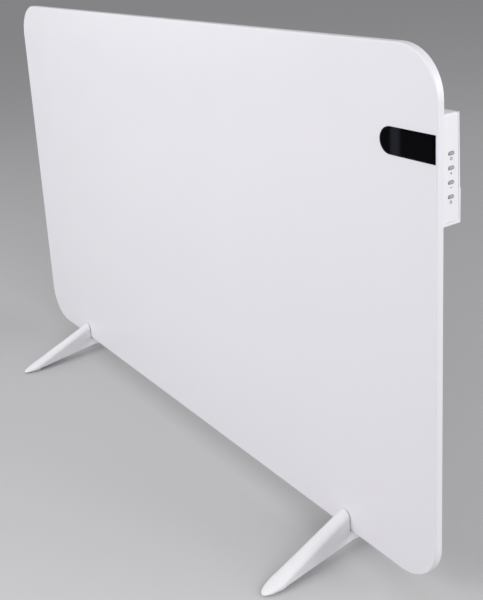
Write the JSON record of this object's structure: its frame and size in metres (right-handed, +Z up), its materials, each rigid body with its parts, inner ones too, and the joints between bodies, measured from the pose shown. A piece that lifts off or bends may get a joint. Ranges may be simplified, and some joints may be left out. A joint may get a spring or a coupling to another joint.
{
  "type": "infrared panel heater",
  "caption": "Slim free-standing infrared heater: a flat rounded glass plate on tapered fin feet, with a rear control box, push buttons and a display.",
  "frame": {"origin": "on the floor, under the middle of the glass plate's thickness and width", "axes": "+Z up, -Y the way the heater faces, +X to the right of someone who looks at its front"},
  "size_m": [0.57, 0.1528, 0.358],
  "materials": {
    "white_glass": "opaque white coated toughened glass, satin smooth",
    "black_lens": "polished black acrylic",
    "white_steel": "white powder coat",
    "white_plastic": "fine moulded white plastic",
    "grey_plastic": "smooth grey plastic",
    "black_plastic": "matt black plastic",
    "black_rubber": "matt black rubber",
    "grey_rubber": "grey foam rubber",
    "clear_rubber": "milky silicone rubber",
    "amber_film": "amber polyimide film",
    "foil_track": "etched foil",
    "bright_aluminium": "bright rolled sheet",
    "fibre_board": "pressed mineral fibre",
    "stud_metal": "turned aluminium",
    "zinc_steel": "zinc plated steel",
    "circuit_board": "green solder resist",
    "lead_sleeve": "glass fibre sleeved leads"
  },
  "bodies": {
    "heater": {"glass_panel": "white_glass", "display_lens": "black_lens", "element_film": "amber_film", "heating_track": "foil_track", "reflector_plate": "bright_aluminium", "insulation_board": "fibre_board", "panel_studs": "stud_metal", "stud_washers": "zinc_steel", "casing_gasket": "grey_rubber", "rear_casing": "white_steel", "casing_screws": "zinc_steel", "overheat_cutout": "black_plastic", "cutout_strap": "zinc_steel", "control_shell": "white_plastic", "control_cover": "white_plastic", "control_pad": "grey_rubber", "control_screws": "zinc_steel", "display_module": "black_plastic", "display_board": "circuit_board", "power_board": "circuit_board", "relay": "black_plastic", "transformer": "black_plastic", "terminal_block": "grey_plastic", "tilt_switch": "black_plastic", "wireless_module": "stud_metal", "board_screws": "zinc_steel", "switch_board": "circuit_board", "tact_switches": "black_plastic", "inlet_bushing": "black_plastic", "inlet_nut": "black_plastic", "room_sensor": "black_plastic", "lead_grommet": "black_rubber", "element_leads": "lead_sleeve", "foot_screws": "zinc_steel", "left_front_foot": "white_plastic", "left_rear_foot": "white_plastic", "left_foot_liner": "clear_rubber", "left_front_pad": "clear_rubber", "left_rear_pad": "clear_rubber", "right_front_foot": "white_plastic", "right_rear_foot": "white_plastic", "right_foot_liner": "clear_rubber", "right_front_pad": "clear_rubber", "right_rear_pad": "clear_rubber"},
    "mode_button": {"mode_button": "grey_plastic", "mode_switch_stem": "black_plastic"},
    "plus_button": {"plus_button": "grey_plastic", "plus_switch_stem": "black_plastic"},
    "minus_button": {"minus_button": "grey_plastic", "minus_switch_stem": "black_plastic"},
    "power_button": {"power_button": "grey_plastic", "power_switch_stem": "black_plastic"}
  },
  "joints": [
    {"name": "mode_press", "type": "slide", "parent": "heater", "child": "mode_button", "axis": [-1, 0, 0], "range_m": [0, 0.0005], "stiffness_N_per_m": 1500, "springref_m": -0.0005},
    {"name": "plus_press", "type": "slide", "parent": "heater", "child": "plus_button", "axis": [-1, 0, 0], "range_m": [0, 0.0005], "stiffness_N_per_m": 1500, "springref_m": -0.0005},
    {"name": "minus_press", "type": "slide", "parent": "heater", "child": "minus_button", "axis": [-1, 0, 0], "range_m": [0, 0.0005], "stiffness_N_per_m": 1500, "springref_m": -0.0005},
    {"name": "power_press", "type": "slide", "parent": "heater", "child": "power_button", "axis": [-1, 0, 0], "range_m": [0, 0.0005], "stiffness_N_per_m": 1500, "springref_m": -0.0005}
  ]
}
